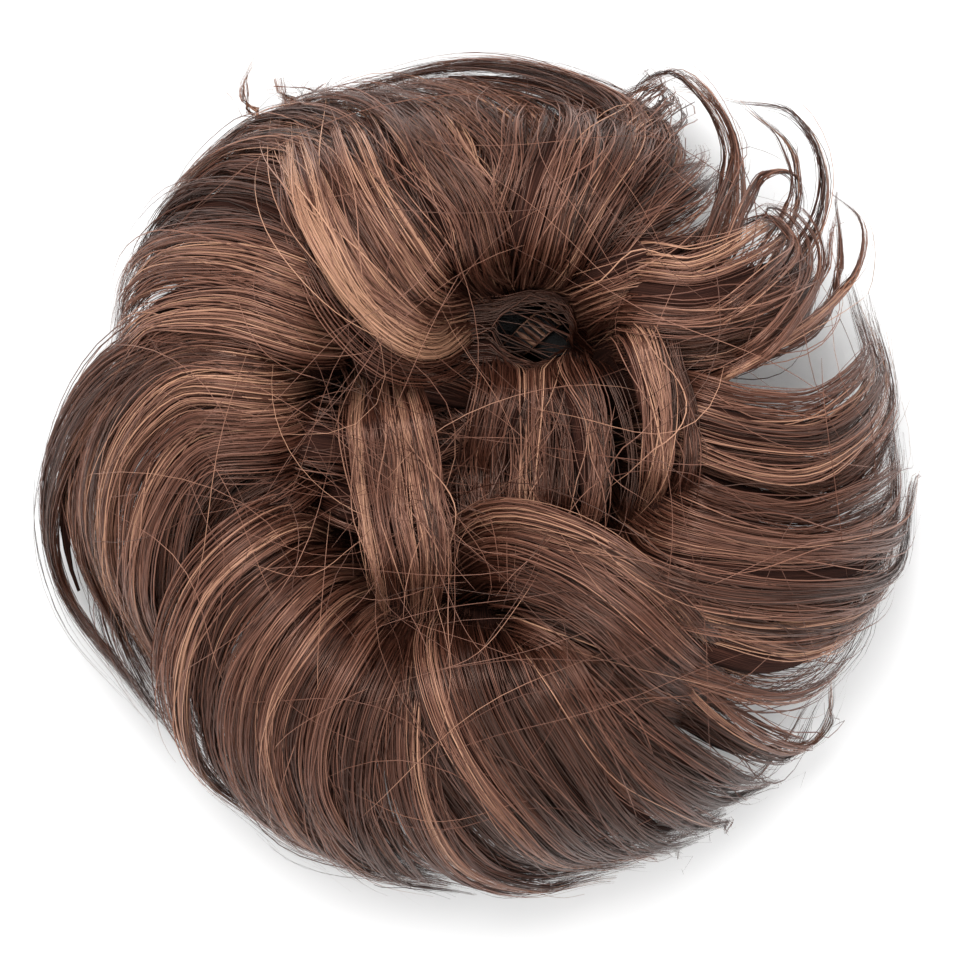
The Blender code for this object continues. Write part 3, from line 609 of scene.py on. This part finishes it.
def lockBodies(name, frames, material):
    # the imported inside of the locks, under the single hairs
    allPoints, allFaces, allUvs, alongs, arounds = [], [], [], [], []
    sections, sides = packed["sections"], packed["sides"]
    offset = 0
    columns = math.ceil(math.sqrt(len(frames)))
    rows = math.ceil(len(frames) / columns)
    for number, (lock, base) in enumerate(frames):
        besideParting = abs(lock.root - parting["angle"]) < parting["reach"]
        t = np.linspace(packed["startPast"] if besideParting else 0.0, packed["end"], sections)[None, :]
        path, across, out = (sampleFrame(base, t, key)[0] for key in ("path", "across", "out"))
        thinned = smoothStep((t[0] - packed["thinFrom"]) / (packed["end"] - packed["thinFrom"]))
        size = swell(t[0]) * packed["share"] * (1 - packed["thinning"] * thinned)
        turn = 2 * math.pi * np.arange(sides) / sides
        ripple = 1 + packed["ripple"] * np.sin(turn * 3 + number)[None, :]
        scale = (size[:, None] * ripple)[..., None]
        wide = across[:, None] * (np.cos(turn) * base["halfWidth"])[None, :, None]
        deep = out[:, None] * (np.sin(turn) * base["halfDepth"])[None, :, None]
        points = openParting(path[:, None] + (wide + deep) * scale)
        points[..., 2] = np.maximum(points[..., 2], strand["floorGap"])
        index = offset + np.arange(sections * sides).reshape(sections, sides)
        near, far = index[:-1], index[1:]
        walls = np.stack([near, np.roll(near, -1, 1), np.roll(far, -1, 1), far], -1).reshape(-1, 4)
        tris = np.concatenate([walls[:, [0, 1, 2]], walls[:, [0, 2, 3]]])
        fan = [[index[0, 0], index[0, k + 1], index[0, k]] for k in range(1, sides - 1)]
        fan += [[index[-1, 0], index[-1, k], index[-1, k + 1]] for k in range(1, sides - 1)]
        cellU, cellV = (number % columns) / columns, (number // columns) / rows
        i, j = np.meshgrid(np.arange(sections - 1), np.arange(sides), indexing="ij")
        u0, u1 = (cellU + (0.03 + 0.9 * (j + k) / sides) / columns for k in (0, 1))
        v0, v1 = (cellV + (0.03 + 0.9 * (i + k) / sections) / rows for k in (0, 1))
        quad = [np.stack([u, v], -1).reshape(-1, 2) for u, v in ((u0, v0), (u1, v0), (u1, v1), (u0, v1))]
        uvs = [np.stack([quad[k] for k in (0, 1, 2)], 1), np.stack([quad[k] for k in (0, 2, 3)], 1)]
        capUv = np.tile(np.array([[cellU + 0.95 / columns, cellV + 0.95 / rows]]), (len(fan) * 3, 1))
        capUv = capUv.reshape(-1, 3, 2) + np.array([[0, 0], [0.01 / columns, 0], [0, 0.01 / rows]])
        allPoints.append(points.reshape(-1, 3))
        allFaces.append(np.concatenate([tris, np.array(fan)]))
        allUvs.append(np.concatenate([*uvs, capUv]))
        alongs.append(np.repeat(t[0] * base["length"] * 10, sides))
        arounds.append(np.tile(np.cos(turn) * base["halfWidth"] * 1000 + number * 3.7, sections))
        offset += sections * sides
    attributes = {"along": np.concatenate(alongs), "around": np.concatenate(arounds)}
    obj = meshFrom(name, np.concatenate(allPoints), np.concatenate(allFaces), 3, attributes,
                   np.concatenate(allUvs), material)
    print("made", name, "with", len(obj.data.polygons), "triangles")
    return obj


# rings of packed hair about the elastic's axis, dark with painted shade; each is a radius, half a width, half
# a height and a lift
turned = {
    "packed_core": (0.042, 0.0130, 0.025, 0.012),
    "packed_roots": (ring["radius"] + 0.0068, 0.0045, 0.0085, 0.0085),
    "packed_nest": (0.0125, 0.0130, 0.0016, 0.0262),
}


def turnedBody(name, radius, halfWidth, halfHeight, lift, material, steps=96, sides=20):
    # an oval section turned about the elastic's axis, with its streaks running outwards
    turn = 2 * math.pi * np.arange(steps) / steps
    tilt = 2 * math.pi * np.arange(sides) / sides
    out = radius + halfWidth * np.cos(tilt)
    points = np.stack([ring["x"] + np.cos(turn)[:, None] * out, ring["y"] + np.sin(turn)[:, None] * out,
                       np.maximum(lift + halfHeight * np.sin(tilt), strand["floorGap"])[None, :]
                       + np.zeros((steps, 1))], axis=-1)
    away = np.hypot(points[..., 0] - parting["x"], points[..., 1] - parting["y"]) / parting["wellRadius"]
    points[..., 2] = np.maximum(points[..., 2] * (1 - np.exp(-away ** 4)), strand["floorGap"])
    index = np.arange(steps * sides).reshape(steps, sides)
    near, far = index, np.roll(index, -1, axis=0)
    walls = np.stack([near, far, np.roll(far, -1, 1), np.roll(near, -1, 1)], -1).reshape(-1, 4)
    i, j = np.meshgrid(np.arange(steps), np.arange(sides), indexing="ij")
    corners = [np.stack([u, v], -1).reshape(-1, 2) for u, v in
               ((i / steps, j / sides), ((i + 1) / steps, j / sides),
                ((i + 1) / steps, (j + 1) / sides), (i / steps, (j + 1) / sides))]
    shape = (steps, sides)
    attributes = {"along": np.broadcast_to(tilt[None, :] * 0.5, shape),
                  "around": np.broadcast_to(np.abs(turn[:, None] - math.pi) * radius * 1000, shape)}
    return meshFrom(name, points.reshape(-1, 3), walls, 4, attributes, np.stack(corners, 1), material)


sewn = {
    "turns": 14,  # of the tape round the elastic
    "radius": 0.00568,
    "halfWidth": 0.0024,
    "rungs": 26,  # for each turn
    "thread": 0.00020,
    "rung": 0.00050,
    "points": 9,
    # the threads are partly their own light colour and partly painted light: set lighter so that they read as
    # lit where the tape sits in shade down in its well
    "tones": (0.62, 0.88),
}


def tapeStitches(material):
    # the ladder of thread sewn along the wound tape: two rails, and slanted rungs between them
    top = math.radians(parting["angle"])

    def spot(turn, radius):
        wind = sewn["turns"] * (turn - top) + math.pi / 2
        out = ring["radius"] + radius * np.cos(wind)
        return np.stack([ring["x"] + out * np.cos(turn), ring["y"] + out * np.sin(turn),
                         ring["z"] + radius * np.sin(wind)], axis=-1)

    def threads(turn, across, size):
        place = spot(turn, sewn["radius"])
        out = unit(place - spot(turn, 0.0))
        along = unit(spot(turn + 0.004, sewn["radius"]) - spot(turn - 0.004, sewn["radius"]))
        side = np.cross(along, out)
        return {"place": place + side * across[..., None], "out": out,
                "tone": dice.uniform(*sewn["tones"], len(turn)), "radius": np.full(len(turn), size)}

    s = np.linspace(0, 1, sewn["points"])[None, :]
    lengths = sewn["turns"] * 4
    starts = 2 * math.pi * np.arange(lengths)[:, None] / lengths
    rail = starts + 2 * math.pi / lengths * (s * 1.04)
    groups = [threads(rail, np.full(rail.shape, side * sewn["halfWidth"]), sewn["thread"])
              for side in (-1, 1)]
    rungs = sewn["turns"] * sewn["rungs"]
    starts = 2 * math.pi * np.arange(rungs)[:, None] / rungs
    slant = 2 * math.pi / rungs * 0.5
    across = sewn["halfWidth"] * (2 * s - 1) + np.zeros((rungs, 1))
    groups.append(threads(starts + slant * s, across, sewn["rung"]))
    return ribbons("tape_stitches", groups, material)


def newMaterial(name):
    material = bpy.data.materials.new(name)
    material.use_nodes = True
    tree = material.node_tree
    return material, tree.nodes, tree.links, tree.nodes["Principled BSDF"]


def ramp(nodes, stops):
    node = nodes.new("ShaderNodeValToRGB")
    while len(node.color_ramp.elements) < len(stops):
        node.color_ramp.elements.new(0.5)
    for element, (place, colour) in zip(node.color_ramp.elements, stops):
        element.position = place
        element.color = (*colour, 1.0)
    return node


hairFinish = {
    "roughness": 0.33,
    "gloss": 0.80,
    "sheen": (1.0, 0.66, 0.54),
    "stops": [(0.0, (0.006, 0.0015, 0.0009)), (0.30, (0.026, 0.0072, 0.0040)),
              (0.54, (0.088, 0.0305, 0.0185)), (0.76, (0.215, 0.096, 0.063)), (1.0, (0.47, 0.25, 0.155))],
}


def strandMaterial(name):
    material, nodes, links, shader = newMaterial(name)
    tone = nodes.new("ShaderNodeAttribute")
    tone.attribute_name = "tone"
    colours = ramp(nodes, hairFinish["stops"])
    links.new(tone.outputs["Fac"], colours.inputs["Fac"])
    links.new(colours.outputs["Color"], shader.inputs["Base Color"])
    shader.inputs["Roughness"].default_value = hairFinish["roughness"]
    shader.inputs["Specular IOR Level"].default_value = hairFinish["gloss"]
    shader.inputs["Specular Tint"].default_value = (*hairFinish["sheen"], 1.0)
    return material


# painted shade: the packed hair inside the locks and round the elastic is far darker than the single hairs,
# for the shade deep in the bun
packedShadeLook = {
    "scale": 4.5,  # of the streaks
    "detail": 4.0,
    "stops": [(0.30, (0.007, 0.0024, 0.0018)), (0.52, (0.030, 0.0105, 0.007)), (0.72, (0.105, 0.040, 0.026))],
    "relief": 0.0004,
    "reliefStrength": 0.6,
    "roughness": 0.85,
    "gloss": 0.12,
}


def packedShadeMaterial(name):
    # packed hair seen between the single ones: fine dark streaks along the lock, on a colour far darker than
    # the hair's own, which is painted shade deep in the lock
    material, nodes, links, shader = newMaterial(name)
    along = nodes.new("ShaderNodeAttribute")
    along.attribute_name = "along"
    around = nodes.new("ShaderNodeAttribute")
    around.attribute_name = "around"
    join = nodes.new("ShaderNodeCombineXYZ")
    links.new(around.outputs["Fac"], join.inputs[0])
    links.new(along.outputs["Fac"], join.inputs[1])
    noise = nodes.new("ShaderNodeTexNoise")
    noise.inputs["Scale"].default_value = packedShadeLook["scale"]
    noise.inputs["Detail"].default_value = packedShadeLook["detail"]
    links.new(join.outputs[0], noise.inputs["Vector"])
    colours = ramp(nodes, packedShadeLook["stops"])
    links.new(noise.outputs["Fac"], colours.inputs["Fac"])
    links.new(colours.outputs["Color"], shader.inputs["Base Color"])
    bump = nodes.new("ShaderNodeBump")
    bump.inputs["Distance"].default_value = packedShadeLook["relief"]
    bump.inputs["Strength"].default_value = packedShadeLook["reliefStrength"]
    links.new(noise.outputs["Fac"], bump.inputs["Height"])
    links.new(bump.outputs["Normal"], shader.inputs["Normal"])
    shader.inputs["Roughness"].default_value = packedShadeLook["roughness"]
    shader.inputs["Specular IOR Level"].default_value = packedShadeLook["gloss"]
    return material


partNames = {"under": "under_hair", "sweep": "sweep_hair", "side": "side_hair", "front": "front_hair",
             "lobe": "lobe_hair", "shoulder": "shoulder_hair", "middle": "middle_hair"}
hairColour = strandMaterial("brownStrands")
packedShadeColour = packedShadeMaterial("packedHairShade")
threadColour = strandMaterial("tapeThread")
frames = [(lock, lockFrame(lock)) for lock in lockRows]
print("locks laid out:", len(frames))

perSquareMetre = 1e6  # square millimetres in one
pieces = []
strandTotal = 0
for part, pieceName in partNames.items():
    groups = []
    before = None
    for lock, base in frames:
        if lock.part != part:
            continue
        area = base["length"] * 2 * base["halfWidth"] * perSquareMetre
        count = max(8, round(area * strand["perArea"] * lock.fill))
        groups.append(lockStrands(lock, base, count))
        if lock.join and before is not None:
            groups.append(lockStrands(lock, base, round(count * strand["between"]), fillFrom=before))
        before = base
    for group in groups:
        group["place"] = openParting(group["place"])
        strandTotal += len(group["tone"])
    pieces.append(ribbons(pieceName, groups, hairColour))
strays = [strayStrands(**stray["middle"]), strayStrands(**stray["all"])]
pieces.append(ribbons("stray_hair", strays, hairColour))
broad = [row for row in frames if row[0].width > packed["widest"]]
pieces.append(lockBodies("packed_hair", broad, packedShadeColour))
for name, sizes in turned.items():
    pieces.append(turnedBody(name, *sizes, packedShadeColour))
print("hairs in all:", strandTotal)

for piece in pieces:
    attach(piece, "root")
    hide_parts("hair_locks")

stitches = tapeStitches(threadColour)
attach(stitches, "root")


darkFinish = {
    "elastic_loop": (0.012, 0.011, 0.011),
    "weft_tape": (0.02, 0.016, 0.016),
    "roughness": 0.7,
    "scale": 2500,  # of the weave
    "detail": 6.0,
    "shades": (0.5, 1.8),  # darkest and lightest, of the colour
    "relief": 0.0003,
}


def darkMaterial(name, colour):
    material, nodes, links, shader = newMaterial(name)
    noise = nodes.new("ShaderNodeTexNoise")
    noise.inputs["Scale"].default_value = darkFinish["scale"]
    noise.inputs["Detail"].default_value = darkFinish["detail"]
    place = nodes.new("ShaderNodeTexCoord")
    links.new(place.outputs["Object"], noise.inputs["Vector"])
    dark, light = (tuple(c * shade for c in colour) for shade in darkFinish["shades"])
    colours = ramp(nodes, [(0.3, dark), (0.7, light)])
    links.new(noise.outputs["Fac"], colours.inputs["Fac"])
    links.new(colours.outputs["Color"], shader.inputs["Base Color"])
    bump = nodes.new("ShaderNodeBump")
    bump.inputs["Distance"].default_value = darkFinish["relief"]
    links.new(noise.outputs["Fac"], bump.inputs["Height"])
    links.new(bump.outputs["Normal"], shader.inputs["Normal"])
    shader.inputs["Roughness"].default_value = darkFinish["roughness"]
    return material


for node in ("elastic_loop", "weft_tape"):
    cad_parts[node].data.materials.clear()
    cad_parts[node].data.materials.append(darkMaterial(node + "Finish", darkFinish[node]))

# the photograph's place and light
view = {
    "height": 1.30,
    "aimX": 0.0002,
    "aimY": -0.0006,
    "sharpAt": 0.035,  # height at which the frame is as wide as below
    "frameWidth": 0.1916,
    "world": 0.98,
    "keyPlace": (-0.18, 0.52, 0.95),
    "keySize": 0.7,
    "keyPower": 9.5,
    "fillPlace": (0.6, -0.5, 0.9),
    "fillSize": 0.9,
    "fillPower": 3.325,
    "lightsAim": (0, 0, 0.02),
    "floor": (0.95, 0.95, 0.95, 1),
}


def makeStage():
    bpy.ops.mesh.primitive_plane_add(size=4)
    floor = bpy.context.object
    floor.name = "floor"
    material, nodes, links, shader = newMaterial("paleFloor")
    shader.inputs["Base Color"].default_value = view["floor"]
    shader.inputs["Roughness"].default_value = 0.9
    shader.inputs["Specular IOR Level"].default_value = 0.1
    floor.data.materials.append(material)
    camera = bpy.data.objects.new("camera", bpy.data.cameras.new("camera"))
    bpy.context.scene.collection.objects.link(camera)
    camera.location = (view["aimX"], view["aimY"], view["height"])
    camera.data.sensor_width = 36
    camera.data.lens = 36 * (view["height"] - view["sharpAt"]) / view["frameWidth"]
    bpy.context.scene.camera = camera
    world = bpy.data.worlds.new("studio")
    world.use_nodes = True
    world.node_tree.nodes["Background"].inputs["Color"].default_value = (1, 1, 1, 1)
    world.node_tree.nodes["Background"].inputs["Strength"].default_value = view["world"]
    bpy.context.scene.world = world
    for name in ("key", "fill"):
        light = bpy.data.objects.new(name + "Light", bpy.data.lights.new(name + "Light", "AREA"))
        bpy.context.scene.collection.objects.link(light)
        light.data.size = view[name + "Size"]
        light.data.energy = view[name + "Power"]
        light.location = view[name + "Place"]
        aim = Vector(view["lightsAim"]) - light.location
        light.rotation_euler = aim.to_track_quat("-Z", "Y").to_euler()
    bpy.context.scene.view_settings.view_transform = "Standard"


makeStage()
print("stage, lights and camera are in place")
